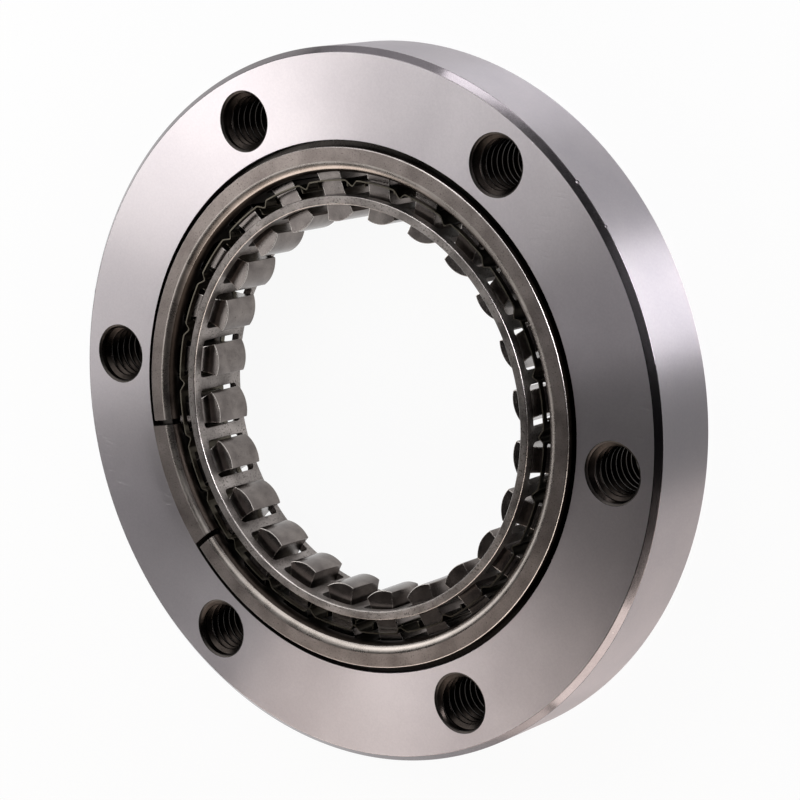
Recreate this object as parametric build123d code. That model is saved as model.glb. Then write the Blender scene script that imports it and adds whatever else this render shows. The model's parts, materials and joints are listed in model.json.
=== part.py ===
from build123d import *
import math
import os

# A sprag clutch: a bolted outer race with a loose insert of two cages, a ribbon spring and sprags.
# Frame: millimetres, clutch axis on +Z, origin on the axis in the housing's back face.
# The flange side of the insert faces +Z. Angles are measured from +X, where the first bolt hole lies.

# Hub that runs in the clutch. It isn't part of the product, but the sprags are sized to it:
# with no hub in place their tips stand a little inside its surface, by the preload given below.
hub_diameter = 52.0

# Housing, which is the outer race, built up outwards from the hub
sprag_space = 8.3
recess_step = 2.95
bolt_inset = 5.75
rim_width = 7.0
housing_width = 12.4
recess_depth = 1.2
front_edge_chamfer = 0.85
back_edge_chamfer = 0.4
race_edge_chamfer = 0.3

# Bolt circle, threaded right through. The holes are drawn at the thread's major diameter.
bolt_count = 6
thread_diameter = 8.0
hole_mouth_chamfer = 0.25

# Insert: how many sprags, how it is turned in the housing, and how far it stands off its seat
sprag_count = 24
insert_turn = 11.7
insert_stand = 0.8

# Outer cage, a drawn ring with a turned-out flange and a drag tab between two slits
outer_cage_clearance = 0.4
outer_cage_wall = 1.0
outer_cage_neck = 0.4
outer_cage_back_band = 1.0
flange_clearance = 0.85
bend_inside_radius = 0.5
flange_edge_radius = 0.2
drag_tab_angle = 30.0
drag_tab_turn = 197.6
drag_tab_stand_out = 0.5
slit_width = 0.8
slit_depth = 2.6

# Inner cage
inner_cage_hub_gap = 2.45
inner_cage_wall = 1.25
inner_cage_front_band = 1.5
inner_cage_back_band = 1.0
inner_cage_edge_chamfer = 0.2

# Ribbon spring
ribbon_cage_gap = 1.05
ribbon_thickness = 0.2
ribbon_rail = 0.8
dip_depth = 0.75
dip_steep_side = 0.65
dip_long_side = 1.15
dip_flat = 0.3
tongue_reach = 1.1
tongue_thickness = 0.2

# Sprag: two cams joined by a narrower, leaning body
sprag_length = 6.2
inner_cam_radius = 4.6
inner_cam_lead = 0.6
inner_cam_preload = 0.05
outer_cam_radius = 3.95
outer_cam_lead = 1.3
outer_cam_clearance = 0.13
inner_head_trailing = 2.5
inner_head_leading = 2.1
outer_head_trailing = 0.85
outer_head_leading = 3.55
waist_trailing = 1.2
waist_leading = 2.4

# Windows: clearance beside, behind and in front of each sprag
window_side_clearance = 0.4
window_end_clearance = 0.8
window_corner_radius = 0.6
spring_side_clearance = 0.65

# How far a cutter runs past the faces that it cuts through
cutter_overrun = 1.0

hub_radius = hub_diameter / 2
race_radius = hub_radius + sprag_space
recess_radius = race_radius + recess_step
bolt_circle_radius = recess_radius + bolt_inset
housing_radius = bolt_circle_radius + rim_width
pitch_angle = 360 / sprag_count

tube_outer_radius = race_radius - outer_cage_clearance
tube_inner_radius = tube_outer_radius - outer_cage_wall
flange_radius = recess_radius - flange_clearance
inner_cage_inner_radius = hub_radius + inner_cage_hub_gap
inner_cage_outer_radius = inner_cage_inner_radius + inner_cage_wall
ribbon_radius = tube_inner_radius - ribbon_cage_gap - ribbon_thickness / 2

bend_outside_radius = bend_inside_radius + outer_cage_wall
window_length = sprag_length + 2 * window_end_clearance
flange_back = housing_width - recess_depth + insert_stand
flange_front = flange_back + outer_cage_wall
window_front = flange_front - bend_outside_radius - outer_cage_neck
window_back = window_front - window_length
sprag_middle = (window_front + window_back) / 2

inner_cam_centre = hub_radius - inner_cam_preload + inner_cam_radius
outer_cam_centre = race_radius - outer_cam_clearance - outer_cam_radius
pivot_radius = (tube_inner_radius + tube_outer_radius) / 2
waist_radius = (inner_cage_outer_radius + ribbon_radius) / 2


def polar(radius, angle):
    """Point in the XY plane at a radius and an angle in degrees."""
    return (radius * math.cos(math.radians(angle)), radius * math.sin(math.radians(angle)))


def around(shapes, count, start=0.0):
    """Copies of a shape, evenly spaced about the clutch axis from a start angle."""
    step = 360 / count
    return [Rot(0, 0, start + step * index) * shapes for index in range(count)]


def turned_ring(outline):
    """Solid of revolution about Z from edges drawn in the XZ plane."""
    return revolve(make_face(outline), Axis.Z, 360)


def closed_lines(points):
    """Straight edges through points given as radius and height, closed at the end."""
    return Polyline(*[(radius, 0, height) for radius, height in points], close=True)


def housing():
    """Outer race: a turned ring with a recess for the flange and a circle of threaded holes."""
    recess_floor = housing_width - recess_depth
    section = [
        (race_radius + race_edge_chamfer, 0),
        (housing_radius - back_edge_chamfer, 0),
        (housing_radius, back_edge_chamfer),
        (housing_radius, housing_width - front_edge_chamfer),
        (housing_radius - front_edge_chamfer, housing_width),
        (recess_radius, housing_width),
        (recess_radius, recess_floor),
        (race_radius + race_edge_chamfer, recess_floor),
        (race_radius, recess_floor - race_edge_chamfer),
        (race_radius, race_edge_chamfer),
    ]
    ring = turned_ring(closed_lines(section))
    return ring - around(bolt_hole(), bolt_count)


def bolt_hole():
    """Cutter for one threaded hole, countersunk at both faces."""
    hole_radius = thread_diameter / 2
    mouth_radius = hole_radius + hole_mouth_chamfer
    upwards = (Align.CENTER, Align.CENTER, Align.MIN)
    hole = Cylinder(hole_radius, housing_width + 2 * cutter_overrun, align=upwards)
    mouth = Cone(mouth_radius, hole_radius, hole_mouth_chamfer, align=upwards)
    cutter = Pos(0, 0, -cutter_overrun) * hole + mouth + Pos(0, 0, housing_width) * Rot(180, 0, 0) * mouth
    return Pos(bolt_circle_radius, 0, 0) * cutter


def window(radius, wall, trailing, leading, face):
    """Cutter for one window: a face drawn flat, pushed radially through a cage wall at angle 0."""
    start = Plane(
        origin=(radius - wall / 2 - cutter_overrun, (leading - trailing) / 2, sprag_middle),
        x_dir=(0, 1, 0),
        z_dir=(1, 0, 0),
    )
    return extrude(start * face, wall + 2 * cutter_overrun)


def outer_cage():
    """Outer cage: window tube, rolled bend, flange and the drag tab between its two slits."""
    width = outer_head_trailing + outer_head_leading + 2 * window_side_clearance
    opening = Rectangle(width, window_length)
    windows = window(pivot_radius, outer_cage_wall, outer_head_trailing, outer_head_leading, opening)
    ring = turned_ring(flanged_tube_outline(flange_radius))
    tab = Rot(0, 0, -drag_tab_angle / 2) * revolve(
        make_face(flanged_tube_outline(flange_radius + drag_tab_stand_out)), Axis.Z, drag_tab_angle
    )
    tab -= Cylinder(flange_radius - drag_tab_stand_out, 2 * (flange_front + cutter_overrun))
    body = ring + Rot(0, 0, drag_tab_turn + insert_turn) * tab
    body -= [
        Rot(0, 0, drag_tab_turn + insert_turn + side * drag_tab_angle / 2) * flange_slit()
        for side in (-1, 1)
    ]
    return body - around(windows, sprag_count, insert_turn)


def flanged_tube_outline(edge_radius):
    """Half section of the outer cage, with the flange out to a given radius."""
    back = window_back - outer_cage_back_band
    bend_centre = tube_outer_radius + bend_inside_radius
    half_arc = math.sqrt(0.5)
    outside_start = (tube_inner_radius, 0, flange_front - bend_outside_radius)
    inside_start = (tube_outer_radius, 0, flange_back - bend_inside_radius)
    tube_back = Line((tube_inner_radius, 0, back), (tube_outer_radius, 0, back))
    tube_outside = Line((tube_outer_radius, 0, back), inside_start)
    inside_bend = ThreePointArc(
        inside_start,
        (
            bend_centre - bend_inside_radius * half_arc,
            0,
            flange_back - bend_inside_radius + bend_inside_radius * half_arc,
        ),
        (bend_centre, 0, flange_back),
    )
    flange_underside = Line((bend_centre, 0, flange_back), (edge_radius, 0, flange_back))
    flange_rim = Line((edge_radius, 0, flange_back), (edge_radius, 0, flange_front - flange_edge_radius))
    rim_round = ThreePointArc(
        (edge_radius, 0, flange_front - flange_edge_radius),
        (
            edge_radius - flange_edge_radius * (1 - half_arc),
            0,
            flange_front - flange_edge_radius * (1 - half_arc),
        ),
        (edge_radius - flange_edge_radius, 0, flange_front),
    )
    flange_face = Line((edge_radius - flange_edge_radius, 0, flange_front), (bend_centre, 0, flange_front))
    outside_bend = ThreePointArc(
        (bend_centre, 0, flange_front),
        (
            bend_centre - bend_outside_radius * half_arc,
            0,
            flange_front - bend_outside_radius * (1 - half_arc),
        ),
        outside_start,
    )
    tube_inside = Line(outside_start, (tube_inner_radius, 0, back))
    return [
        tube_back,
        tube_outside,
        inside_bend,
        flange_underside,
        flange_rim,
        rim_round,
        flange_face,
        outside_bend,
        tube_inside,
    ]


def flange_slit():
    """Cutter for one radial slit through the flange and the bend, at angle 0."""
    length = recess_radius - tube_inner_radius + 2 * cutter_overrun
    slit = Box(length, slit_width, slit_depth + cutter_overrun, align=(Align.MIN, Align.CENTER, Align.MIN))
    return Pos(tube_inner_radius - cutter_overrun, 0, flange_front - slit_depth) * slit


def inner_cage():
    """Inner cage: a plain windowed ring, a little shorter than the outer one."""
    back = window_back - inner_cage_back_band
    front = window_front + inner_cage_front_band
    section = [
        (inner_cage_inner_radius, back),
        (inner_cage_outer_radius, back),
        (inner_cage_outer_radius, front),
        (inner_cage_inner_radius + inner_cage_edge_chamfer, front),
        (inner_cage_inner_radius, front - inner_cage_edge_chamfer),
    ]
    ring = turned_ring(closed_lines(section))
    middle = inner_cage_inner_radius + inner_cage_wall / 2
    width = inner_head_trailing + waist_leading + 2 * window_side_clearance
    opening = RectangleRounded(width, window_length, window_corner_radius)
    windows = window(middle, inner_cage_wall, inner_head_trailing, waist_leading, opening)
    return ring - around(windows, sprag_count, insert_turn)


def sprag():
    """One sprag with its radial line on +X. Its leading side is the one towards +Y."""
    inner_leading = cam_point(inner_cam_centre, inner_cam_lead, -inner_cam_radius, inner_head_leading)
    inner_trailing = cam_point(inner_cam_centre, inner_cam_lead, -inner_cam_radius, -inner_head_trailing)
    outer_leading = cam_point(outer_cam_centre, outer_cam_lead, outer_cam_radius, outer_head_leading)
    outer_trailing = cam_point(outer_cam_centre, outer_cam_lead, outer_cam_radius, -outer_head_trailing)
    outline = [
        ThreePointArc(inner_leading, (inner_cam_centre - inner_cam_radius, inner_cam_lead), inner_trailing),
        ThreePointArc(inner_trailing, (waist_radius, -waist_trailing), outer_trailing),
        ThreePointArc(outer_trailing, (outer_cam_centre + outer_cam_radius, outer_cam_lead), outer_leading),
        ThreePointArc(outer_leading, (waist_radius, waist_leading), inner_leading),
    ]
    return extrude(Pos(0, 0, sprag_middle - sprag_length / 2) * make_face(outline), sprag_length)


def cam_point(centre, lead, radius, sideways):
    """Point on a cam arc at a sideways distance. A negative radius takes the inner half of the arc."""
    reach = math.sqrt(radius**2 - (sideways - lead) ** 2)
    return (centre + math.copysign(reach, radius), sideways)


def ribbon_spring():
    """Ribbon spring: a thin crimped band with a window and two tongues for each sprag."""
    trailing = waist_trailing + spring_side_clearance + tongue_thickness
    leading = waist_leading + spring_side_clearance + tongue_thickness
    band = ribbon_face(ribbon_thickness / 2) - ribbon_face(-ribbon_thickness / 2)
    ribbon = extrude(Pos(0, 0, window_back - ribbon_rail) * band, window_length + 2 * ribbon_rail)
    opening = Rectangle(trailing + leading, window_length)
    windows = window(ribbon_radius, ribbon_thickness, trailing, leading, opening)
    ribbon -= around(windows, sprag_count, insert_turn)
    tongues = tongue(-trailing) + tongue(leading - tongue_thickness)
    return ribbon + around(tongues, sprag_count, insert_turn)


def ribbon_face(offset):
    """Disc bounded by the crimped line of the ribbon, moved out by an offset."""
    edges = []
    run_radius = ribbon_radius + offset
    dip_radius = ribbon_radius - dip_depth + offset
    half_flat = dip_flat / 2
    for index in range(sprag_count):
        dip_angle = insert_turn + (index + 0.5) * pitch_angle
        steep_top = polar(run_radius, dip_angle - math.degrees(dip_steep_side / ribbon_radius))
        steep_foot = polar(dip_radius, dip_angle - math.degrees(half_flat / ribbon_radius))
        long_foot = polar(dip_radius, dip_angle + math.degrees(half_flat / ribbon_radius))
        long_top = polar(run_radius, dip_angle + math.degrees(dip_long_side / ribbon_radius))
        next_dip = dip_angle + pitch_angle
        next_top = polar(run_radius, next_dip - math.degrees(dip_steep_side / ribbon_radius))
        middle = polar(run_radius, insert_turn + (index + 1) * pitch_angle)
        edges += [
            Line(steep_top, steep_foot),
            Line(steep_foot, long_foot),
            Line(long_foot, long_top),
            ThreePointArc(long_top, middle, next_top),
        ]
    return make_face(edges)


def tongue(side):
    """One tongue of the ribbon, turned inward at the edge of a window near angle 0."""
    plate = Box(tongue_reach, tongue_thickness, sprag_length, align=(Align.MAX, Align.MIN, Align.CENTER))
    return Pos(ribbon_radius, side, sprag_middle) * plate


def build():
    """Every node of the clutch by name."""
    nodes = {
        "housing": housing(),
        "outer_cage": outer_cage(),
        "inner_cage": inner_cage(),
        "ribbon_spring": ribbon_spring(),
    }
    for index, piece in enumerate(around(sprag(), sprag_count, insert_turn)):
        nodes[f"sprag_{index + 1:02d}"] = piece
    return nodes


os.makedirs("parts", exist_ok=True)
for name, solid in build().items():
    export_step(solid, f"parts/{name}.step")
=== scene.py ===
"""The looks of a sprag clutch: a bolted outer race with a loose insert of cages, spring and sprags.

Every class models one sub-assembly in millimetres, about the clutch axis on +Z, and hands its pieces
over in metres. The front of the clutch, where the insert's flange shows, faces +Z.
"""

import cmath
import json
import logging
import math
from dataclasses import dataclass, replace
from enum import Enum
from typing import Callable, Iterable

import bmesh
import bpy
from bmesh.types import BMEdge, BMesh, BMVert
from bpy.types import Node, NodeSocket, NodeTree
from mathutils import Matrix, Vector


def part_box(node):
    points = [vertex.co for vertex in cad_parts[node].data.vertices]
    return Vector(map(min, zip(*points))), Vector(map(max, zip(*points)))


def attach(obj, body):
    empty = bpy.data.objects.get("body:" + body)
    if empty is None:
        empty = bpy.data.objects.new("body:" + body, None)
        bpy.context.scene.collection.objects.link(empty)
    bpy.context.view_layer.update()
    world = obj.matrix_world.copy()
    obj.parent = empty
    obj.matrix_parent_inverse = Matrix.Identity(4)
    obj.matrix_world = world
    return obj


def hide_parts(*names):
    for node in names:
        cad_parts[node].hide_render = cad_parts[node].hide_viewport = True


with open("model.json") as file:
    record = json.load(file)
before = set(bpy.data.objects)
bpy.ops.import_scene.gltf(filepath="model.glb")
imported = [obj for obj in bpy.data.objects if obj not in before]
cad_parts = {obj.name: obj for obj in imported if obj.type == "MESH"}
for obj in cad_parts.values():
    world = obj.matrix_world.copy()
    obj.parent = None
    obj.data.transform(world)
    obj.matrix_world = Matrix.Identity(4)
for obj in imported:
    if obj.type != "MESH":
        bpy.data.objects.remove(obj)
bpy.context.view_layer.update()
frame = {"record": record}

LOG = logging.getLogger("sprag_clutch")
MM = 0.001
BOLT_MOUNT = next(mount for mount in frame["record"]["mounts"] if mount["kind"] == "bolt_pattern")
HUB_MOUNT = next(mount for mount in frame["record"]["mounts"] if mount["name"] == "hub_seat")

# Millimetres within which two places are the same, and the same for doubles that are merged and for
# circles, which are drawn with short chords
SAME = 1e-4
SAME_POINT = 0.0015
SAME_HEIGHT = 0.005
SAME_RADIUS = 0.01

Point = tuple[float, float]
Zone = Callable[[Vector, float], bool]


class Cut(Enum):
    """How a metal surface was worked, which sets the way its highlights stretch."""

    EVEN = "even"
    TURNED = "turned"


# Small helpers for sizes, colours and shader nodes


def low_mm(node: str) -> Vector:
    """Lowest corner of a CAD node at rest, in millimetres."""
    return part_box(node)[0] / MM


def high_mm(node: str) -> Vector:
    """Highest corner of a CAD node at rest, in millimetres."""
    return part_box(node)[1] / MM


def per_metre(size: float) -> float:
    """Texture scale that repeats a pattern once every given number of millimetres."""
    return 1 / (size * MM)


def linear(colour: str) -> tuple[float, float, float, float]:
    """Turn an sRGB hex colour into linear RGBA.

    Args:
        colour: Six hex digits, such as "8a8a8a".

    Returns:
        Red, green and blue in linear light, and an alpha of one.
    """
    channels = [int(colour[start : start + 2], 16) / 255 for start in (0, 2, 4)]
    bent = [c / 12.92 if c <= 0.04045 else ((c + 0.055) / 1.055) ** 2.4 for c in channels]
    return (bent[0], bent[1], bent[2], 1.0)


def add_node(
    tree: NodeTree, kind: str, settings: dict[str, object] | None = None, **inputs: object
) -> Node:
    """Add one shader node, with its settings and what goes into its sockets.

    Args:
        tree: The node tree.
        kind: The node's type name after "ShaderNode".
        settings: Attributes of the node itself.
        inputs: For each input socket a value, an output socket or a node, which stands for its first
            output. An underscore stands for a space, and i0 is the first socket.

    Returns:
        The new node.
    """
    node = tree.nodes.new("ShaderNode" + kind)
    for name, value in (settings or {}).items():
        setattr(node, name, value)
    for name, value in inputs.items():
        numbered = name[0] == "i" and name[1:].isdigit()
        socket = node.inputs[int(name[1:])] if numbered else node.inputs[name.replace("_", " ")]
        if isinstance(value, Node):
            value = value.outputs[0]
        if isinstance(value, NodeSocket):
            tree.links.new(value, socket)
        else:
            socket.default_value = value
    return node


# Finishes

# Settings of a math node that multiplies its first two inputs and adds the third
MULTIPLY_ADD = {"operation": "MULTIPLY_ADD"}
# How far the grain shifts the tone, and the tones where the dark and the light colour are reached
GRAIN_SHARE = 0.5
TONES = (0.5, 1.0)
# A quarter turn, in parts of a full one, which lays the highlights across the tool marks
ACROSS_MARKS = 0.25
# Depth of a speck in millimetres, and the width of its blurred edge in steps of its noise
PIT_DEPTH = 0.01
SPECK_EDGE = 0.06
# Size in millimetres of the patches of scratches, and the noise values where they begin and are full
SCRATCH_PATCH = 7.0
SCRATCH_PATCH_EDGE = (0.52, 0.64)
# Turn in radians and width in millimetres of each lay of scratches
SCRATCH_LAYS = ((0.7, 0.5), (-0.5, 0.45), (1.5, 0.6))
# Width over length of a scratch, and the noise values where it begins and is deepest
SCRATCH_SLIMNESS = 0.16
SCRATCH_PEAK = (0.7, 0.76)


@dataclass(frozen=True)
class SteelFinish:
    """Bare steel with blotches, fine grain, tool marks and scattered pits or specks.

    Sizes are in millimetres and colours are sRGB hex values. The blotches give a slow change of tone,
    the grain a fine sparkle, and the marks run round the clutch axis on turned pieces.
    """

    name: str
    slot: str
    dark: str
    light: str
    roughness: tuple[float, float]
    cut: Cut = Cut.EVEN
    stretch_along: float = 0.0
    blotch: float = 6.0
    grain: float = 0.25
    grain_depth: float = 0.004
    mark: float = 0.0
    mark_depth: float = 0.0
    speck: float = 0.0
    speck_colour: str = "1c1a18"
    speck_share: float = 0.0
    scratch_depth: float = 0.0

    def material(self) -> bpy.types.Material:
        """Build the material from procedural nodes on Object coordinates."""
        material = bpy.data.materials.new(self.name)
        material.use_nodes = True
        tree = material.node_tree
        tree.nodes.clear()
        place = add_node(tree, "TexCoord").outputs["Object"]
        blotches = add_node(tree, "TexNoise", Vector=place, Scale=per_metre(self.blotch), Detail=4.0)
        grain = add_node(tree, "TexNoise", Vector=place, Scale=per_metre(self.grain), Detail=3.0)
        tone = add_node(tree, "Math", MULTIPLY_ADD, i0=grain, i1=GRAIN_SHARE, i2=blotches)
        colour = add_node(tree, "ValToRGB", Fac=tone)
        for stop, at, shade in zip(colour.color_ramp.elements, TONES, (self.dark, self.light)):
            stop.position = at
            stop.color = linear(shade)
        least, most = self.roughness
        rough = add_node(
            tree, "MapRange", Value=tone, From_Min=TONES[0], From_Max=TONES[1], To_Min=least, To_Max=most
        )
        height = add_node(tree, "Math", {"operation": "MULTIPLY"}, i0=grain, i1=self.grain_depth)
        if self.mark:
            height = self._tool_marks(tree, place, height)
        if self.speck:
            colour, height = self._specks(tree, place, colour, height)
        if self.scratch_depth:
            height = self._scratches(tree, place, height)
        shader = add_node(
            tree,
            "BsdfPrincipled",
            Base_Color=colour,
            Roughness=rough,
            Metallic=1.0,
            Normal=add_node(tree, "Bump", Height=height, Distance=MM, Strength=1.0),
        )
        if self.cut is Cut.TURNED:
            tangent = add_node(tree, "Tangent", {"direction_type": "RADIAL", "axis": "Z"})
            tree.links.new(tangent.outputs["Tangent"], shader.inputs["Tangent"])
            shader.inputs["Anisotropic"].default_value = self.stretch_along
            shader.inputs["Anisotropic Rotation"].default_value = ACROSS_MARKS
        add_node(tree, "OutputMaterial", Surface=shader)
        return material

    def _tool_marks(self, tree: NodeTree, place: NodeSocket, height: Node) -> Node:
        """Add grooves that run round the axis, as a noise that reads only radius and height."""
        parts = add_node(tree, "SeparateXYZ", Vector=place).outputs
        flat = add_node(tree, "CombineXYZ", X=parts["X"], Y=parts["Y"])
        radius = add_node(tree, "VectorMath", {"operation": "LENGTH"}, i0=flat).outputs["Value"]
        across = add_node(tree, "CombineXYZ", X=radius, Y=parts["Z"])
        marks = add_node(
            tree, "TexNoise", Vector=across, Scale=per_metre(self.mark), Detail=5.0, Roughness=0.7
        )
        return add_node(tree, "Math", MULTIPLY_ADD, i0=marks, i1=self.mark_depth, i2=height)

    def _specks(
        self, tree: NodeTree, place: NodeSocket, colour: Node, height: Node
    ) -> tuple[NodeSocket, Node]:
        """Scatter specks, which are shallow pits in a colour of their own; where that colour is near white,
        as on the chamfer, they are painted glints.
        """
        spots = add_node(tree, "TexNoise", Vector=place, Scale=per_metre(self.speck), Detail=2.0)
        first = 1 - self.speck_share
        mask = add_node(tree, "MapRange", Value=spots, From_Min=first, From_Max=first + SPECK_EDGE)
        # Dark for pits, and near white where the specks are painted glints.
        dark = linear(self.speck_colour)
        mixed = add_node(tree, "Mix", {"data_type": "RGBA"}, i0=mask, i6=colour, i7=dark).outputs[2]
        return mixed, add_node(tree, "Math", MULTIPLY_ADD, i0=mask, i1=-PIT_DEPTH, i2=height)

    def _scratches(self, tree: NodeTree, place: NodeSocket, height: Node) -> Node:
        """Draw patches of fine scratches, as the peaks of a noise stretched one way or another."""
        patches = add_node(tree, "TexNoise", Vector=place, Scale=per_metre(SCRATCH_PATCH), Detail=1.0)
        first, last = SCRATCH_PATCH_EDGE
        shown = add_node(
            tree, "MapRange", Value=patches, From_Min=first, From_Max=last, To_Max=self.scratch_depth
        )
        first, last = SCRATCH_PEAK
        squeeze = (SCRATCH_SLIMNESS, 1.0, 1.0)
        for turn, width in SCRATCH_LAYS:
            lay = add_node(tree, "Mapping", Vector=place, Rotation=(0.0, 0.0, turn), Scale=squeeze)
            streaks = add_node(tree, "TexNoise", Vector=lay, Scale=per_metre(width), Detail=0.0)
            line = add_node(tree, "MapRange", Value=streaks, From_Min=first, From_Max=last, To_Max=-1.0)
            height = add_node(tree, "Math", MULTIPLY_ADD, i0=line, i1=shown, i2=height)
        return height


# The front and back faces, turned and then ground smooth: an even tone with fine grooves round the axis.
FACE_STEEL = SteelFinish(
    name="ground_steel_face", slot="housing_steel", dark="cbc4c7", light="dad3d5",
    roughness=(0.35, 0.38), cut=Cut.TURNED, stretch_along=0.95, blotch=14.0, grain=0.3,
    grain_depth=0.001, mark=0.22, mark_depth=0.002, scratch_depth=0.003,
)
# The rim, turned with a wider feed, and painted darker than the face as shade.
SHADED_RIM_STEEL = SteelFinish(
    name="turned_steel_rim_painted_shade", slot="housing_steel", dark="a6a2a6", light="b3aeb1",
    roughness=(0.5, 0.54), cut=Cut.TURNED, stretch_along=1.0, blotch=9.0, grain=0.35,
    grain_depth=0.002, mark=0.3, mark_depth=0.003, scratch_depth=0.002,
)
# The chamfer, turned smooth and painted darker than the face as shade, with small pits coloured near white
# as painted glints.
SHADED_CHAMFER_STEEL = SteelFinish(
    name="turned_steel_chamfer_painted_shade_and_glints", slot="housing_steel", dark="787375", light="888385",
    roughness=(0.13, 0.16), cut=Cut.TURNED, stretch_along=0.5, blotch=8.0, grain=0.3,
    grain_depth=0.001, speck=1.1, speck_share=0.235, speck_colour="f4f2f0",
)
# The race and its recess: ground, and painted near black as the shade that fills the recess.
SHADED_RACE_STEEL = SteelFinish(
    name="race_steel_painted_shade", slot="housing_steel", dark="2a2725", light="45413e",
    roughness=(0.25, 0.35), cut=Cut.TURNED, stretch_along=0.5, blotch=6.0,
)
# The countersinks of the holes, cut by a drill, and painted dark as the shade in the hole mouths.
SHADED_COUNTERSINK_STEEL = SteelFinish(
    name="countersink_steel_painted_shade", slot="housing_steel", dark="35312f", light="474340",
    roughness=(0.3, 0.38), blotch=3.0,
)
# A tapped thread, cut by a tap, and painted near black as the shade deep in the holes.
SHADED_TAPPED_STEEL = SteelFinish(
    name="tapped_steel_painted_shade", slot="housing_steel", dark="1f1b19", light="403a36",
    roughness=(0.24, 0.34), blotch=3.0, grain=0.2, grain_depth=0.003,
)
# The thin edges of sprags and cages, smoothed by tumbling and wear, and painted lighter as edge highlights.
EDGE_HIGHLIGHT_STEEL = SteelFinish(
    name="worn_edge_steel_painted_highlight", slot="sprag_steel", dark="aba49f", light="cbc5c0",
    roughness=(0.22, 0.3), blotch=1.5, grain=0.1, grain_depth=0.003,
)
# Drawn steel with a thin phosphate coat: warm grey, matte, sprinkled with dark specks.
FLANGE_STEEL = SteelFinish(
    name="phosphated_steel", slot="outer_cage_steel", dark="746b67", light="9a918c",
    roughness=(0.36, 0.46), blotch=4.0, grain=0.16, grain_depth=0.012, speck=0.22, speck_share=0.38,
    speck_colour="5a524d", cut=Cut.TURNED, stretch_along=0.8,
)
# The bend between the tube and the flange: glossier, and painted lighter than the flange as a highlight.
BEND_HIGHLIGHT_STEEL = SteelFinish(
    name="bend_steel_painted_highlight", slot="outer_cage_steel", dark="8f8781", light="b0a8a2",
    roughness=(0.24, 0.32), blotch=3.0, grain=0.2, grain_depth=0.003,
)
# The tube of the same cage and the lower part of its bend, painted dark as the shade inside the insert.
SHADED_TUBE_STEEL = SteelFinish(
    name="phosphated_steel_painted_shade", slot="outer_cage_steel", dark="241f1c", light="3d3631",
    roughness=(0.35, 0.5), blotch=3.0, grain=0.2, grain_depth=0.006,
)
# Tumbled steel: a sandy, even matte surface from the stones of the tumbler.
TUMBLED_STEEL = SteelFinish(
    name="tumbled_steel", slot="inner_cage_steel", dark="5f5a57", light="a8a19d",
    roughness=(0.36, 0.5), blotch=3.5, grain=0.13, grain_depth=0.02, speck=0.25, speck_share=0.42,
    speck_colour="5d5855",
)
# The faced ends of the same cage, where the tool marks run round.
CAGE_END_STEEL = replace(TUMBLED_STEEL, name="tumbled_steel_end", cut=Cut.TURNED, stretch_along=0.8)
# Cold-rolled spring strip, darkened by its heat treatment.
SPRING_STEEL = SteelFinish(
    name="rolled_spring_steel", slot="spring_steel", dark="47433b", light="635e54",
    roughness=(0.25, 0.38), blotch=2.5, grain=0.2, grain_depth=0.002,
)
# Drawn and hardened sprag wire, vibratory-finished: satin brown-grey.
HARDENED_STEEL = SteelFinish(
    name="hardened_steel", slot="sprag_steel", dark="5a5452", light="857e7a",
    roughness=(0.16, 0.26), blotch=2.5, grain=0.12, grain_depth=0.006, speck=0.4, speck_share=0.3,
    speck_colour="4a433f",
)


# Mesh helpers, all in millimetres until a piece is finished


def polar(radius: float, angle: float) -> Point:
    """X and Y of a point at a radius and an angle in radians."""
    return radius * math.cos(angle), radius * math.sin(angle)


def turn_z(angle: float) -> Matrix:
    """Turn round the Z axis by an angle in radians."""
    return Matrix.Rotation(angle, 4, "Z")


def arc(centre: Point, radius: float, first: float, last: float, steps: int) -> list[Point]:
    """Points along an arc with both its ends, at angles in radians."""
    points = []
    for step in range(steps + 1):
        x, y = polar(radius, first + (last - first) * step / steps)
        points.append((centre[0] + x, centre[1] + y))
    return points


def picked(parts: Iterable[object], kind: type) -> list:
    """Those parts of an operator's result that are of one kind, such as BMVert."""
    return [part for part in parts if isinstance(part, kind)]


def round_off(bm: BMesh, parts: list, size: float, segments: int, affect: str = "EDGES") -> None:
    """Round some edges or corners of a mesh.

    Args:
        bm: The mesh.
        parts: Its edges, or its points where affect is "VERTICES".
        size: How far the rounding reaches.
        segments: How many steps it is drawn in.
        affect: What is rounded.
    """
    bmesh.ops.bevel(
        bm,
        geom=parts,
        affect=affect,
        offset=size,
        offset_type="OFFSET",
        segments=segments,
        profile=0.5,
        material=-1,
    )


def spin_round(bm: BMesh, parts: list, steps: int, angle: float = math.tau, rise: float = 0.0) -> None:
    """Spin an outline round the Z axis.

    Args:
        bm: The mesh.
        parts: Points and edges of the outline.
        steps: How many steps it is drawn in.
        angle: How far it turns, in radians. A full turn closes up.
        rise: How much it climbs with each step.
    """
    bmesh.ops.spin(
        bm,
        geom=parts,
        cent=(0.0, 0.0, 0.0),
        axis=(0.0, 0.0, 1.0),
        dvec=(0.0, 0.0, rise),
        angle=angle,
        steps=steps,
        use_merge=angle == math.tau,
    )


def copy_round(bm: BMesh, count: int) -> None:
    """Copy a whole mesh round the Z axis until it stands at a number of even places."""
    bmesh.ops.spin(
        bm,
        geom=bm.verts[:] + bm.edges[:] + bm.faces[:],
        cent=(0.0, 0.0, 0.0),
        axis=(0.0, 0.0, 1.0),
        angle=math.tau * (count - 1) / count,
        steps=count - 1,
        use_duplicate=True,
    )


def close_up(bm: BMesh) -> None:
    """Merge doubles of a mesh and turn its faces outwards."""
    bmesh.ops.remove_doubles(bm, verts=bm.verts[:], dist=SAME_POINT)
    bmesh.ops.recalc_face_normals(bm, faces=bm.faces[:])


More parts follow.
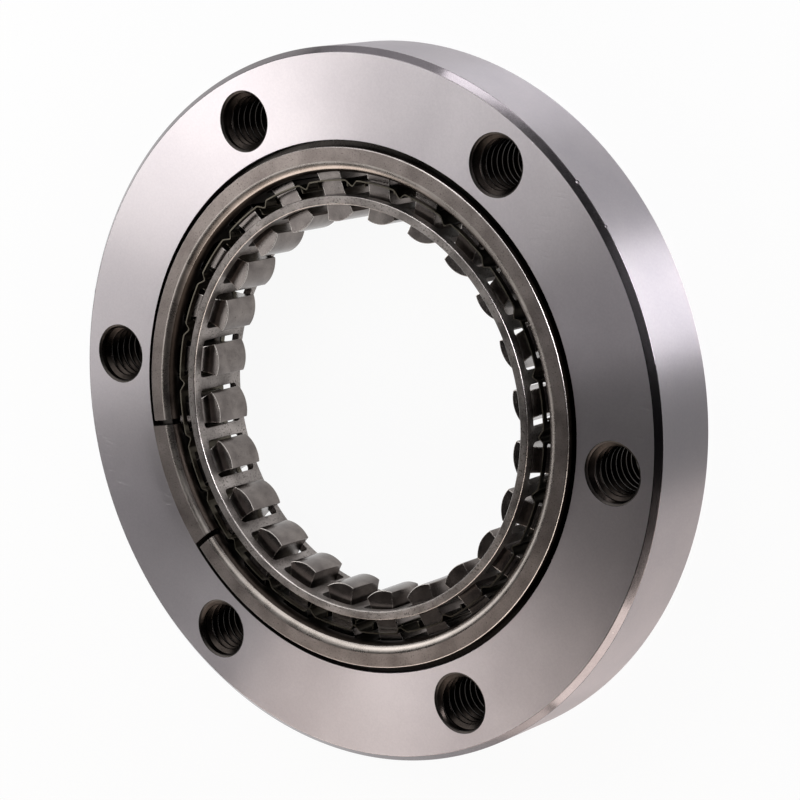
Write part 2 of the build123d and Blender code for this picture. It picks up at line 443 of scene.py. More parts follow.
def draw_section(bm: BMesh, corners: list[tuple[float, float, float]]) -> None:
    """Draw a closed outline in the XZ plane with rounded corners.

    Args:
        bm: The mesh that gets the outline.
        corners: For each corner its radius from the axis, its height and its own rounding.
    """
    groups = {}
    verts = []
    for radius, height, size in corners:
        vert = bm.verts.new((radius, 0.0, height))
        verts.append(vert)
        groups.setdefault(size, []).append(vert)
    bm.faces.new(verts)
    for size, group in groups.items():
        if size:
            round_off(bm, group, size, 4, "VERTICES")
    bmesh.ops.delete(bm, geom=bm.faces[:], context="FACES_ONLY")


def circle(bm: BMesh, radius: float, height: float) -> list[BMEdge]:
    """Edges of a ring that lie on the circle at a radius and height."""
    return [
        edge
        for edge in bm.edges
        if all(
            abs(v.co.xy.length - radius) < SAME_RADIUS and abs(v.co.z - height) < SAME_HEIGHT
            for v in edge.verts
        )
    ]


def add_object(bm: BMesh, name: str) -> bpy.types.Object:
    """Put a mesh in the scene as an object and free it."""
    mesh = bpy.data.meshes.new(name)
    bm.to_mesh(mesh)
    bm.free()
    added = bpy.data.objects.new(name, mesh)
    bpy.context.scene.collection.objects.link(added)
    return added


def cut_away(bm: BMesh, cutter: BMesh) -> BMesh:
    """Subtract one closed mesh from another with an exact boolean.

    Args:
        bm: The body. It is freed.
        cutter: What is cut away. It is freed.

    Returns:
        The body after the cut.
    """
    body, tool = (add_object(source, "cutting") for source in (bm, cutter))
    modifier = body.modifiers.new("cut", "BOOLEAN")
    modifier.operation = "DIFFERENCE"
    modifier.solver = "EXACT"
    modifier.object = tool
    graph = bpy.context.evaluated_depsgraph_get()
    result = bpy.data.meshes.new_from_object(body.evaluated_get(graph))
    cut = bmesh.new()
    cut.from_mesh(result)
    bpy.data.meshes.remove(result)
    for mesh in (body.data, tool.data):
        bpy.data.meshes.remove(mesh)
    return cut


def place_piece(
    bm: BMesh,
    name: str,
    finish: SteelFinish,
    body: str,
    replaces: Iterable[str] = (),
    zones: Iterable[tuple[SteelFinish, Zone]] = (),
    sharp: float = 32.0,
) -> None:
    """Make a finished piece out of a mesh in millimetres and let it ride on its body.

    Args:
        bm: The mesh. It is freed.
        name: The piece's name.
        finish: What it is made of.
        body: The body that it moves with.
        replaces: CAD nodes that it stands for.
        zones: Other finishes, each with a test on a face's middle and lean for where it goes.
        sharp: Angle in degrees past which an edge is drawn sharp.
    """
    bm.normal_update()
    for number, (_, covers) in enumerate(zones, start=1):
        for face in bm.faces:
            if covers(face.calc_center_median(), face.normal.z):
                face.material_index = number
    bmesh.ops.scale(bm, vec=(MM, MM, MM), verts=bm.verts[:])
    piece = add_object(bm, name)
    mesh = piece.data
    mesh.shade_smooth()
    mesh.set_sharp_from_angle(angle=math.radians(sharp))
    flats = piece.modifiers.new("flat_faces", "WEIGHTED_NORMAL")
    flats.mode = "FACE_AREA"
    flats.weight = 80
    flats.keep_sharp = True
    for steel in [finish] + [zone[0] for zone in zones]:
        mesh.materials.append(bpy.data.materials.get(steel.name) or steel.material())
    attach(piece, body)
    if replaces:
        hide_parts(*replaces)
    LOG.info("%s rides on %s with %d faces", name, body, len(mesh.polygons))


@dataclass
class Insert:
    """Sizes that the pieces of the insert share."""

    sprag_count: int = 24
    turn: float = 11.7
    window_back: float = 3.3
    window_front: float = 11.1
    sprag_length: float = HUB_MOUNT["dims"]["length_mm"]

    @property
    def window_middle(self) -> float:
        """Height of the middle of the windows and the sprags."""
        return (self.window_back + self.window_front) / 2

    def place(self, index: int) -> float:
        """Angle of a sprag's radial line, in radians."""
        return math.radians(self.turn + index * 360 / self.sprag_count)


@dataclass(frozen=True)
class WindowBand:
    """A ring with one window for each sprag, drawn flat for one pitch and then bent round the axis.

    In the flat drawing X runs along the ring, Y through its wall and Z along the clutch axis. The window
    is how far each window reaches before and past its sprag's radial line.
    """

    insert: Insert
    radius_in: float
    wall: float
    back: float
    front: float
    window: Point
    corner: float = 0.5
    rim_round: float = 0.08
    end_cuts: int = 8

    @property
    def middle(self) -> float:
        """Radius of the middle of the wall."""
        return self.radius_in + self.wall / 2

    @property
    def half_pitch(self) -> float:
        """Half the length of one cell along the middle of the wall."""
        return math.pi * self.middle / self.insert.sprag_count

    @property
    def centre(self) -> float:
        """How far the window's middle lies past the sprag's radial line."""
        return (self.window[1] - self.window[0]) / 2

    def cell(self) -> BMesh:
        """Draw the flat plate of one pitch with its window, open at its two sides."""
        half_width = sum(self.window) / 2
        half_height = (self.insert.window_front - self.insert.window_back) / 2
        height = self.insert.window_middle
        bm = bmesh.new()
        place = (
            Matrix.Translation((0.0, -self.wall / 2, 0.0))
            @ Matrix.Rotation(math.radians(90), 4, "X")
            @ Matrix.Diagonal((2 * half_width, 2 * half_height, 1.0, 1.0))
        )
        bmesh.ops.create_grid(bm, x_segments=1, y_segments=1, size=0.5, matrix=place)
        round_off(bm, bm.verts[:], self.corner, 6, "VERTICES")
        bmesh.ops.delete(bm, geom=bm.faces[:], context="FACES_ONLY")
        ends = [
            edge
            for edge in bm.edges
            if abs(edge.verts[0].co.z - edge.verts[1].co.z) < SAME and edge.calc_length() > self.corner
        ]
        bmesh.ops.subdivide_edges(bm, edges=ends, cuts=self.end_cuts - 1)
        grown = bmesh.ops.extrude_edge_only(bm, edges=bm.edges[:])["geom"]
        for vert in picked(grown, BMVert):
            self.spread(vert, half_width - self.corner, half_height - self.corner, height)
        thick = bmesh.ops.extrude_face_region(bm, geom=bm.faces[:], use_keep_orig=True)["geom"]
        bmesh.ops.translate(bm, verts=picked(thick, BMVert), vec=(0.0, self.wall, 0.0))
        sides = [face for face in bm.faces if all(abs(v.co.x) > self.half_pitch - SAME for v in face.verts)]
        bmesh.ops.delete(bm, geom=sides, context="FACES")
        bmesh.ops.recalc_face_normals(bm, faces=bm.faces[:])
        if self.rim_round:
            rims = [
                edge
                for edge in bm.edges
                if abs(edge.verts[0].co.y - edge.verts[1].co.y) < SAME
                and all(abs(v.co.x) < half_width + SAME for v in edge.verts)
                and all(abs(v.co.z) < half_height + SAME for v in edge.verts)
            ]
            round_off(bm, rims, self.rim_round, 2)
        bmesh.ops.translate(bm, verts=bm.verts[:], vec=(self.centre, 0.0, height))
        return bm

    def spread(self, vert: BMVert, straight_x: float, straight_z: float, height: float) -> None:
        """Move a point of the window's outline out to the edge of the plate.

        Args:
            vert: The point, in a drawing with the middle of the window as its origin.
            straight_x: Where the straight part of the window's ends stops.
            straight_z: Where the straight part of its sides stops.
            height: Height of the window's middle.
        """
        x, z = vert.co.x, vert.co.z
        past_x = max(abs(x) - straight_x, 0.0)
        past_z = max(abs(z) - straight_z, 0.0)
        reach_z = self.front - height if z > 0 else height - self.back
        share = min(math.atan2(past_z, past_x), math.atan2(past_x, past_z)) / math.radians(45)
        if past_z > past_x - SAME:
            wide = min(abs(x), straight_x) + (self.half_pitch - straight_x) * share
            high = reach_z
        else:
            wide = self.half_pitch
            high = straight_z + (reach_z - straight_z) * share
        vert.co.x = math.copysign(wide, x)
        vert.co.z = math.copysign(high, z)

    def ring(self, lift: Callable[[float], float] | None = None, cuts: Iterable[float] = ()) -> BMesh:
        """Bend one cell after another round the axis and join them.

        Args:
            lift: Extra radius for a place along the pitch, in millimetres from the sprag's radial line.
            cuts: Places along the pitch where the plate is divided before it is bent.

        Returns:
            The closed ring.
        """
        bm = self.cell()
        for place in cuts:
            bmesh.ops.bisect_plane(
                bm,
                geom=bm.verts[:] + bm.edges[:] + bm.faces[:],
                dist=SAME,
                plane_co=(place, 0.0, 0.0),
                plane_no=(1.0, 0.0, 0.0),
            )
        for vert in bm.verts:
            radius = self.middle + vert.co.y + (lift(vert.co.x) if lift else 0.0)
            angle = self.insert.place(0) + vert.co.x / self.middle
            vert.co = (*polar(radius, angle), vert.co.z)
        copy_round(bm, self.insert.sprag_count)
        close_up(bm)
        return bm


# Sub-assemblies. The lean of a face is how much of its normal points along the clutch axis: 0 for a wall,
# 1 for a flat front and -1 for a flat back. These two part the rounded edges of the cages from the rest.
STEEP = 0.1
FLAT = 0.95


@dataclass
class Housing:
    """The outer race: a turned ring with a recess for the flange and six tapped holes.

    Each nick in its front edges has an angle in degrees, a radius, a height below the front and a size.
    """

    race_radius: float = 34.3
    recess_step: float = 2.95
    recess_depth: float = 1.2
    front_chamfer: float = 0.85
    back_chamfer: float = 0.4
    race_chamfer: float = 0.3
    broken_edge: float = 0.08
    mouth_chamfer: float = 0.25
    thread_pitch: float = 1.25
    thread_depth: float = 0.62
    thread_sink: float = 0.04
    thread_margin: float = 0.05
    thread_foot: float = 0.46
    thread_top: float = 0.1
    thread_round: float = 0.09
    fade_turns: float = 0.3
    least_fade: float = 0.04
    least_height: float = 0.02
    steep: float = 0.3
    flat: float = 0.98
    nicks: tuple[tuple[float, float, float, float], ...] = (
        (170.3, 49.6, 0.45, 0.4),
        (-143.8, 50.05, 0.85, 0.55),
        (47.4, 50.0, 0.85, 0.3),
        (39.4, 50.0, 0.85, 0.22),
        (56.5, 49.15, 0.0, 0.2),
    )
    steps: int = 360
    hole_steps: int = 72
    thread_steps: int = 60
    outer_radius: float = high_mm("housing").x
    width: float = high_mm("housing").z
    bolt_circle: float = BOLT_MOUNT["dims"]["pcd_mm"] / 2
    bolt_count: int = BOLT_MOUNT["dims"]["count"]
    hole_radius: float = BOLT_MOUNT["dims"]["hole_r_mm"]

    def build(self) -> None:
        """Model the race and the threads in its holes."""
        edge = self.broken_edge
        rim = self.outer_radius - edge
        chamfer = rim - self.front_chamfer
        recess = self.race_radius + self.recess_step + edge / 2
        hole = self.hole_radius + edge
        sink = hole + self.mouth_chamfer
        steep, flat = self.steep, self.flat
        zones = [
            # Painted shade: the rim's steel is darker than the face's.
            (SHADED_RIM_STEEL, lambda place, lean: place.xy.length > rim and abs(lean) < steep),
            # Painted shade on the chamfer, with near-white specks as painted glints.
            (SHADED_CHAMFER_STEEL, lambda place, lean: place.xy.length > chamfer and steep <= lean < flat),
            # Painted shade: near-black steel in the recess and the bore.
            (SHADED_RACE_STEEL, lambda place, lean: place.xy.length < recess and lean > -flat),
            # Painted shade: dark steel in the hole mouths.
            (SHADED_COUNTERSINK_STEEL, lambda place, lean: self.from_hole(place) < sink and abs(lean) < flat),
            # Painted shade: near-black steel inside the holes.
            (SHADED_TAPPED_STEEL, lambda place, lean: self.from_hole(place) < hole and abs(lean) < steep),
        ]
        place_piece(self.race(), "turned_race", FACE_STEEL, "housing", ["housing"], zones)
        out = Matrix.Translation((self.bolt_circle, 0.0, 0.0))
        for index in range(self.bolt_count):
            thread = self.thread()
            turn = turn_z(math.tau * index / self.bolt_count)
            bmesh.ops.transform(thread, matrix=turn @ out, verts=thread.verts[:])
            # The threads carry the painted shade of the holes.
            place_piece(thread, f"thread_{index + 1}", SHADED_TAPPED_STEEL, "housing")

    def from_hole(self, place: Vector) -> float:
        """Distance of a place from the axis of the nearest threaded hole."""
        share = math.tau / self.bolt_count
        angle = (math.atan2(place.y, place.x) + share / 2) % share - share / 2
        x, y = polar(place.xy.length, angle)
        return math.hypot(x - self.bolt_circle, y)

    def race(self) -> BMesh:
        """Turn the ring and cut its holes and nicks."""
        floor = self.width - self.recess_depth
        recess = self.race_radius + self.recess_step
        edge = self.broken_edge
        ring = bmesh.new()
        corners = [
            (self.race_radius + self.race_chamfer, 0.0, 0.0),
            (self.outer_radius - self.back_chamfer, 0.0, edge),
            (self.outer_radius, self.back_chamfer, edge),
            (self.outer_radius, self.width - self.front_chamfer, edge),
            (self.outer_radius - self.front_chamfer, self.width, edge),
            (recess, self.width, edge),
            (recess, floor, edge),
            (self.race_radius + self.race_chamfer, floor, 0.0),
            (self.race_radius, floor - self.race_chamfer, 0.0),
            (self.race_radius, self.race_chamfer, 0.0),
        ]
        draw_section(ring, corners)
        spin_round(ring, ring.verts[:] + ring.edges[:], self.steps)
        close_up(ring)
        cutters = self.holes()
        for angle, radius, below, size in self.nicks:
            place = Matrix.Translation((*polar(radius, math.radians(angle)), self.width - below))
            bmesh.ops.create_icosphere(cutters, subdivisions=2, radius=size, matrix=place)
        return cut_away(ring, cutters)

    def holes(self) -> BMesh:
        """Cutters for all the holes, with a countersink and a broken edge at both faces."""
        mouth = self.hole_radius + self.mouth_chamfer
        edge = self.broken_edge
        beyond = 1.0
        upper = [
            (self.hole_radius, self.width - self.mouth_chamfer),
            (mouth - edge / 2, self.width - edge / 2),
            (mouth + edge / 2, self.width - edge / 8),
            (mouth + edge, self.width),
            (mouth + edge, self.width + beyond),
            (0.0, self.width + beyond),
        ]
        lower = [(radius, self.width - height) for radius, height in reversed(upper)]
        bm = bmesh.new()
        outline = [bm.verts.new((radius, 0.0, height)) for radius, height in lower + upper]
        edges = [bm.edges.new(pair) for pair in zip(outline, outline[1:])]
        spin_round(bm, outline + edges, self.hole_steps)
        close_up(bm)
        bmesh.ops.translate(bm, verts=bm.verts[:], vec=(self.bolt_circle, 0.0, 0.0))
        copy_round(bm, self.bolt_count)
        return bm

    def thread(self) -> BMesh:
        """One helical thread ridge, sunk into the wall of a hole and faded out at both mouths."""
        wall = self.hole_radius + self.thread_sink
        crest = self.hole_radius - self.thread_depth
        foot = self.thread_foot * self.thread_pitch
        top = self.thread_top * self.thread_pitch
        start = foot + self.thread_margin
        rise = self.width - 2 * start
        turns = rise / self.thread_pitch
        steps = round(turns * self.thread_steps)
        corners = [
            (wall, -foot, 0.0),
            (wall, foot, 0.0),
            (crest, top, self.thread_round),
            (crest, -top, self.thread_round),
        ]
        bm = bmesh.new()
        draw_section(bm, corners)
        bmesh.ops.translate(bm, verts=bm.verts[:], vec=(0.0, 0.0, start))
        spin_round(bm, bm.verts[:] + bm.edges[:], steps, math.tau * turns, rise / steps)
        for vert in bm.verts:
            radius = vert.co.xy.length
            if radius > wall - SAME:
                continue
            part_turn = math.atan2(vert.co.y, vert.co.x) / math.tau
            along = part_turn + round((vert.co.z - start) / self.thread_pitch - part_turn)
            fade = min(1.0, max(self.least_fade, min(along, turns - along) / self.fade_turns))
            inset = min(vert.co.z, self.width - vert.co.z) - self.mouth_chamfer
            kept = wall - min((wall - radius) * fade, max(inset, self.least_height * fade))
            vert.co.xy *= kept / radius
        open_ends = [edge for edge in bm.edges if len(edge.link_faces) == 1]
        bmesh.ops.holes_fill(bm, edges=open_ends)
        bmesh.ops.recalc_face_normals(bm, faces=bm.faces[:])
        return bm


@dataclass
class OuterCage:
    """The outer cage: a drawn tube with windows, a rolled bend, a flange and a drag tab."""

    insert: Insert
    radius_in: float = 32.9
    wall: float = 1.0
    window: Point = (1.25, 3.95)
    inside_bend: float = 0.5
    back_round: float = 0.1
    flange_radius: float = 36.4
    flange_edge: float = 0.2
    tab_stand_out: float = 0.5
    tab_angle: float = 30.0
    tab_turn: float = 209.3
    slit_width: float = 0.8
    slit_depth: float = 2.6
    # How far up the bend the tube's painted shade reaches.
    painted_shade_reach: float = 1.0
    bend_lean: float = 0.7
    back: float = low_mm("outer_cage").z
    front: float = high_mm("outer_cage").z

    @property
    def neck(self) -> float:
        """Height where the tube ends and the bend starts."""
        return self.front - self.inside_bend - self.wall

    @property
    def bend_centre(self) -> Point:
        """Radius and height of the middle of the bend."""
        return self.radius_in + self.wall + self.inside_bend, self.neck

    def build(self) -> None:
        """Model the whole cage as one piece of drawn sheet."""
        bm = cut_away(self.shell(), self.slits())
        edge = self.flange_radius - self.flange_edge
        bend, neck = self.bend_centre
        zones = [
            # Painted highlight: lighter steel on the flange's rounded edge.
            (EDGE_HIGHLIGHT_STEEL, lambda place, lean: place.xy.length > edge and STEEP < lean < FLAT),
            # Painted highlight: lighter steel on the upper part of the bend.
            (BEND_HIGHLIGHT_STEEL, lambda place, lean: place.xy.length < bend and lean > self.bend_lean),
            # Painted shade: dark steel on the tube and the lower part of the bend.
            (SHADED_TUBE_STEEL, lambda place, lean: place.z < neck + self.painted_shade_reach),
        ]
        place_piece(bm, "flanged_cage", FLANGE_STEEL, "outer_cage", ["outer_cage"], zones)

    def shell(self) -> BMesh:
        """The tube with windows, then its front edge rolled out into the flange."""
        radius_out = self.radius_in + self.wall
        band = WindowBand(self.insert, self.radius_in, self.wall, self.back, self.neck, self.window)
        bm = band.ring()
        ends = [face for face in bm.faces if all(abs(v.co.z - self.neck) < SAME for v in face.verts)]
        bmesh.ops.delete(bm, geom=ends, context="FACES")
        rim = (self.flange_radius - self.flange_edge, self.front - self.flange_edge)
        section = arc(self.bend_centre, self.inside_bend, math.pi, math.pi / 2, 6)[1:]
        section.append((self.flange_radius, self.front - self.wall))
        section += arc(rim, self.flange_edge, 0.0, math.pi / 2, 4)
        section += arc(self.bend_centre, self.inside_bend + self.wall, math.pi / 2, math.pi, 10)
        loop = circle(bm, radius_out, self.neck)
        for radius, height in section:
            at_rim = radius > rim[0] - self.flange_edge
            grown = bmesh.ops.extrude_edge_only(bm, edges=loop)["geom"]
            loop = picked(grown, BMEdge)
            for vert in picked(grown, BMVert):
                angle = math.atan2(vert.co.y, vert.co.x)
                turned = (math.degrees(angle) - self.tab_turn + 180) % 360 - 180
                on_tab = abs(turned) < self.tab_angle / 2
                reach = radius + (self.tab_stand_out if at_rim and on_tab else 0.0)
                vert.co = (*polar(reach, angle), height)
        close_up(bm)
        round_off(bm, circle(bm, self.radius_in, self.back), self.back_round, 2)
        round_off(bm, circle(bm, radius_out, self.back), self.back_round, 2)
        return bm

    def slits(self) -> BMesh:
        """Cutters for the two slits beside the drag tab."""
        bm = bmesh.new()
        beyond = 1.0
        start = self.radius_in - beyond
        length = self.flange_radius + self.tab_stand_out + beyond - start
        depth = self.slit_depth + beyond
        size = Matrix.Diagonal((length, self.slit_width, depth, 1.0))
        middle = Matrix.Translation((start + length / 2, 0.0, self.front + beyond - depth / 2))
        for side in (-1, 1):
            made = bmesh.ops.create_cube(bm, size=1.0)["verts"]
            turn = turn_z(math.radians(self.tab_turn + side * self.tab_angle / 2))
            bmesh.ops.transform(bm, matrix=turn @ middle @ size, verts=made)
        return bm


@dataclass
class InnerCage:
    """The inner cage: a plain windowed ring inside the ribbon."""

    insert: Insert
    wall: float = 1.25
    window: Point = (2.9, 2.8)
    corner: float = 0.6
    rim_round: float = 0.12
    front_round: float = 0.2
    back_round: float = 0.12
    back: float = low_mm("inner_cage").z
    front: float = high_mm("inner_cage").z
    radius_out: float = high_mm("inner_cage").x

    def build(self) -> None:
        """Model the ring and round its ends."""
        radius_in = self.radius_out - self.wall
        band = WindowBand(self.insert, radius_in, self.wall, self.back, self.front, self.window)
        bm = replace(band, corner=self.corner, rim_round=self.rim_round).ring()
        for radius in (radius_in, self.radius_out):
            round_off(bm, circle(bm, radius, self.back), self.back_round, 3)
            round_off(bm, circle(bm, radius, self.front), self.front_round, 3)
        edge = self.front - self.front_round
        zones = [
            # Painted highlight: lighter steel on the front edge's rounding.
            (EDGE_HIGHLIGHT_STEEL, lambda place, lean: place.z > edge and lean > STEEP),
            (CAGE_END_STEEL, lambda place, lean: abs(lean) > FLAT),
        ]
        place_piece(bm, "windowed_cage", TUMBLED_STEEL, "inner_cage", ["inner_cage"], zones)


@dataclass
class RibbonSpring:
    """The ribbon spring: a thin crimped band with a window and two tongues for each sprag."""

    insert: Insert
    radius: float = 31.75
    thickness: float = 0.2
    dip_depth: float = 0.75
    dip_steep_side: float = 0.65
    dip_long_side: float = 1.15
    dip_flat: float = 0.3
    fold_round: float = 0.3
    fold_samples: int = 5
    pitch_steps: int = 48
    window: Point = (2.05, 3.25)
    corner: float = 0.3
    tongue_reach: float = 1.1
    tongue_thickness: float = 0.2
    tongue_round: float = 0.04
    sharp: float = 40.0
    back: float = low_mm("ribbon_spring").z
    front: float = high_mm("ribbon_spring").z

    def build(self) -> None:
        """Model the crimped band with its tongues."""
        inside = self.radius - self.thickness / 2
        band = WindowBand(self.insert, inside, self.thickness, self.back, self.front, self.window)
        band = replace(band, corner=self.corner, rim_round=0.0)
        first = band.centre - band.half_pitch
        step = 2 * band.half_pitch / self.pitch_steps
        bm = band.ring(self.dip, [first + step * number for number in range(1, self.pitch_steps)])
        for index in range(self.insert.sprag_count):
            for side in (-self.window[0], self.window[1] - self.tongue_thickness):
                self.tongue(bm, side, self.insert.place(index))
        place_piece(
            bm, "crimped_ribbon", SPRING_STEEL, "outer_cage", ["ribbon_spring"], sharp=self.sharp
        )

    def dip(self, place: float) -> float:
        """Depth of the crimp at a place along the pitch, with its folds rounded."""
        shares = [step / (self.fold_samples - 1) - 0.5 for step in range(self.fold_samples)]
        return sum(self.sharp_dip(place + share * self.fold_round) for share in shares) / len(shares)

    def sharp_dip(self, place: float) -> float:
        """Depth of the crimp at a place along the pitch, with sharp folds."""
        pitch = math.tau * self.radius / self.insert.sprag_count
        past = place % pitch - pitch / 2
        half_flat = self.dip_flat / 2
        side = self.dip_steep_side if past < 0 else self.dip_long_side
        rise = (abs(past) - half_flat) / (side - half_flat)
        return -self.dip_depth * (1 - min(max(rise, 0.0), 1.0))

    def tongue(self, bm: BMesh, side: float, angle: float) -> None:
        """Add one tongue that is turned inwards at the edge of a window."""
        made = bmesh.ops.create_cube(bm, size=1.0)["verts"]
        size = Matrix.Diagonal((self.tongue_reach, self.tongue_thickness, self.insert.sprag_length, 1.0))
        across = (self.radius - self.tongue_reach / 2, side + self.tongue_thickness / 2)
        middle = Matrix.Translation((*across, self.insert.window_middle))
        bmesh.ops.transform(bm, matrix=turn_z(angle) @ middle @ size, verts=made)
        round_off(bm, list({edge for vert in made for edge in vert.link_edges}), self.tongue_round, 1)


@dataclass
class Sprags:
    """The sprags: two offset cams joined by a narrower, leaning waist."""

    insert: Insert
    inner_centre: float = 30.55
    inner_cam: float = 4.6
    inner_lead: float = 0.6
    outer_centre: float = 30.22
    outer_cam: float = 3.95
    outer_lead: float = 1.3
    inner_trailing: float = 2.5
    inner_leading: float = 2.1
    outer_trailing: float = 0.85
    outer_leading: float = 3.55
    waist_radius: float = 30.725
    waist_trailing: float = 1.2
    waist_leading: float = 2.4
    edge_round: float = 0.12
    edge_angle: float = 35.0
    edge_lean: tuple[float, float] = (0.05, 0.98)
    cam_steps: int = 10

    def build(self) -> None:
        """Model every sprag as a piece of its own."""
        least, most = self.edge_lean
        for index in range(self.insert.sprag_count):
            bm = self.sprag()
            turn = turn_z(self.insert.place(index))
            bmesh.ops.transform(bm, matrix=turn, verts=bm.verts[:])
            body = f"sprag_{index + 1:02d}"
            # Painted highlight: lighter steel on the rounded edges.
            zones = [(EDGE_HIGHLIGHT_STEEL, lambda place, lean: least < abs(lean) < most)]
            place_piece(bm, f"cam_{body}", HARDENED_STEEL, body, [body], zones)

    def sprag(self) -> BMesh:
        """Draw the section on the X axis, push it out along the clutch axis and round its edges."""
        bm = bmesh.new()
        length = self.insert.sprag_length
        base = self.insert.window_middle - length / 2
        face = bm.faces.new([bm.verts.new((x, y, base)) for x, y in self.outline()])
        grown = bmesh.ops.extrude_face_region(bm, geom=[face], use_keep_orig=True)["geom"]
        bmesh.ops.translate(bm, verts=picked(grown, BMVert), vec=(0.0, 0.0, length))
        bmesh.ops.recalc_face_normals(bm, faces=bm.faces[:])
        sharp = [edge for edge in bm.edges if edge.calc_face_angle(0.0) > math.radians(self.edge_angle)]
        round_off(bm, sharp, self.edge_round, 2)
        return bm

    def outline(self) -> list[Point]:
        """Points of the section: inner cam, trailing waist, outer cam and leading waist."""
        inner = [
            math.pi - self.cam_angle(side, self.inner_lead, self.inner_cam)
            for side in (self.inner_leading, -self.inner_trailing)
        ]
        outer = [
            self.cam_angle(side, self.outer_lead, self.outer_cam)
            for side in (-self.outer_trailing, self.outer_leading)
        ]
        tip = arc((self.inner_centre, self.inner_lead), self.inner_cam, *inner, self.cam_steps)
        head = arc((self.outer_centre, self.outer_lead), self.outer_cam, *outer, self.cam_steps)
        trailing = self.through(tip[-1], (self.waist_radius, -self.waist_trailing), head[0])
        leading = self.through(head[-1], (self.waist_radius, self.waist_leading), tip[0])
        return tip + trailing + head + leading

    def cam_angle(self, side: float, lead: float, radius: float) -> float:
        """Angle in radians at which a cam with a given lead reaches a sideways place."""
        return math.asin((side - lead) / radius)

    def through(self, start: Point, middle: Point, end: Point) -> list[Point]:
        """Inner points of the arc that runs through three points."""
        a, b, c = (complex(*point) for point in (start, middle, end))
        w = (c - a) / (b - a)
        centre = (b - a) * (w - abs(w) ** 2) / (2j * w.imag) + a
        first = cmath.phase(a - centre)
        last = first + cmath.phase((c - centre) / (a - centre))
        return arc((centre.real, centre.imag), abs(a - centre), first, last, self.cam_steps)[1:-1]


# Studio


def direction(azimuth: float, elevation: float) -> Vector:
    """Unit vector towards an azimuth and an elevation in degrees."""
    across = polar(math.cos(math.radians(elevation)), math.radians(azimuth))
    return Vector((*across, math.sin(math.radians(elevation))))


@dataclass(frozen=True)
class Softbox:
    """A soft lamp that faces the clutch from a direction, with angles in degrees.

    Its radiance is how bright its surface looks, where 1 is white. The lamps hang close together in a
    dome, so neighbours join up into broad soft light. Lengths are in metres.
    """

    azimuth: float
    elevation: float
    radiance: float
    colour: str = "ffffff"
    distance: float = 0.32
    width: float = 0.16
    height: float = 0.16

    def hang(self) -> None:
        """Put the lamp in the scene."""
        name = f"softbox_{self.azimuth}_{self.elevation}"
        lamp = bpy.data.lights.new(name, "AREA")
        lamp.shape = "RECTANGLE"
        lamp.size = self.width
        lamp.size_y = self.height
        lamp.energy = self.radiance * math.pi * self.width * self.height
        lamp.color = linear(self.colour)[:3]
        holder = bpy.data.objects.new(name, lamp)
        out = direction(self.azimuth, self.elevation)
        holder.location = out * self.distance
        holder.rotation_euler = out.to_track_quat("Z", "Y").to_euler()
        holder.visible_camera = False
        bpy.context.scene.collection.objects.link(holder)


COOL = "fbfaff"
WARM = "fff3ea"
# A low lamp that stays out of the chamfer's reflections, and a small one that hangs close to the face
LOW = {"height": 0.1}
CLOSE = {"distance": 0.2, "width": 0.1, "height": 0.1}


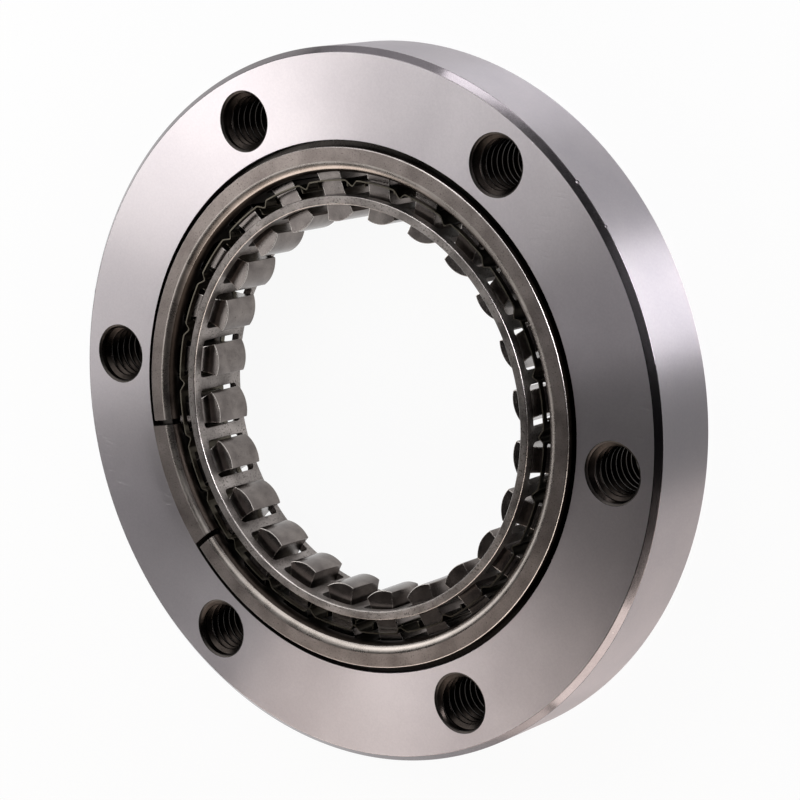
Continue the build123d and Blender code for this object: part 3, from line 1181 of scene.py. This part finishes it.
@dataclass
class Studio:
    """Floor, soft lights and the camera. Angles are in degrees and lengths in metres."""

    azimuth: float = 22.815
    elevation: float = 51.567
    roll: float = 104.81
    distance: float = 0.37733
    aim: tuple[float, float, float] = (0.008313, 0.003023, 0.0124)
    lens: float = 124.69
    floor_size: float = 15.0
    floor_colour: str = "f2f2f2"
    floor_glow: float = 0.93
    room: str = "1c1c1e"
    lamps: tuple[Softbox, ...] = (
        Softbox(30, 11, 15.5, COOL, **LOW),
        Softbox(60, 11, 2.9, COOL, **LOW),
        Softbox(90, 11, 4.6, COOL, **LOW),
        Softbox(120, 17, 0.8, COOL),
        Softbox(240, 17, 2.6, WARM),
        Softbox(270, 17, 2.0, WARM),
        Softbox(300, 17, 3.0, WARM),
        Softbox(330, 11, 3.9, WARM, **LOW),
        Softbox(90, 40, 0.5),
        Softbox(120, 40, 1.6),
        Softbox(150, 40, 0.7),
        Softbox(240, 40, 0.55, WARM),
        Softbox(270, 40, 0.5, WARM),
        Softbox(120, 65, 1.3),
        Softbox(150, 30, 0.5, **CLOSE),
        Softbox(165, 35, 1.15, **CLOSE),
        Softbox(180, 40, 1.8, **CLOSE),
        Softbox(210, 25, 0.45, **CLOSE),
    )

    def build(self) -> None:
        """Set the floor, the room's light, the lamps and the camera."""
        self.lay_floor()
        self.light_room()
        for lamp in self.lamps:
            lamp.hang()
        self.place_camera()

    def lay_floor(self) -> None:
        """Lay a plain pale floor that keeps a weak shadow and looks white to the camera."""
        bm = bmesh.new()
        bmesh.ops.create_grid(bm, x_segments=1, y_segments=1, size=self.floor_size)
        floor = add_object(bm, "floor")
        material = bpy.data.materials.new("pale_floor")
        material.use_nodes = True
        tree = material.node_tree
        tree.nodes.clear()
        path = add_node(tree, "LightPath").outputs
        seen = path["Is Camera Ray"]
        for ray in ("Is Glossy Ray", "Is Transmission Ray"):
            seen = add_node(tree, "Math", {"operation": "MAXIMUM"}, i0=seen, i1=path[ray])
        share = add_node(tree, "Math", {"operation": "MULTIPLY"}, i0=seen, i1=self.floor_glow)
        matte = add_node(tree, "BsdfDiffuse", Color=linear(self.floor_colour))
        white = add_node(tree, "Emission", Color=linear("ffffff"), Strength=1.0)
        mixed = add_node(tree, "MixShader", i0=share, i1=matte, i2=white)
        add_node(tree, "OutputMaterial", Surface=mixed)
        floor.data.materials.append(material)

    def light_room(self) -> None:
        """Light the room evenly and dimly."""
        world = bpy.data.worlds.new("room")
        world.use_nodes = True
        background = world.node_tree.nodes["Background"]
        background.inputs["Color"].default_value = linear(self.room)
        background.inputs["Strength"].default_value = 1.0
        bpy.context.scene.world = world

    def place_camera(self) -> None:
        """Place the camera at the photograph's viewing angle."""
        toward = direction(self.azimuth, self.elevation)
        data = bpy.data.cameras.new("camera")
        data.lens = self.lens
        data.sensor_width = 36.0
        data.clip_start = 0.01
        data.clip_end = 100.0
        camera = bpy.data.objects.new("camera", data)
        upright = toward.to_track_quat("Z", "Y").to_matrix().to_4x4()
        stand = Matrix.Translation(Vector(self.aim) + toward * self.distance)
        camera.matrix_world = stand @ upright @ turn_z(-math.radians(self.roll))
        bpy.context.scene.collection.objects.link(camera)
        bpy.context.scene.camera = camera


def main() -> None:
    """Build every sub-assembly, then the studio, with colours shown as they are written."""
    logging.basicConfig(level=logging.INFO, format="%(name)s: %(message)s")
    bpy.context.scene.view_settings.view_transform = "Standard"
    insert = Insert()
    Housing().build()
    OuterCage(insert).build()
    InnerCage(insert).build()
    RibbonSpring(insert).build()
    Sprags(insert).build()
    Studio().build()


if __name__ == "__main__":
    main()
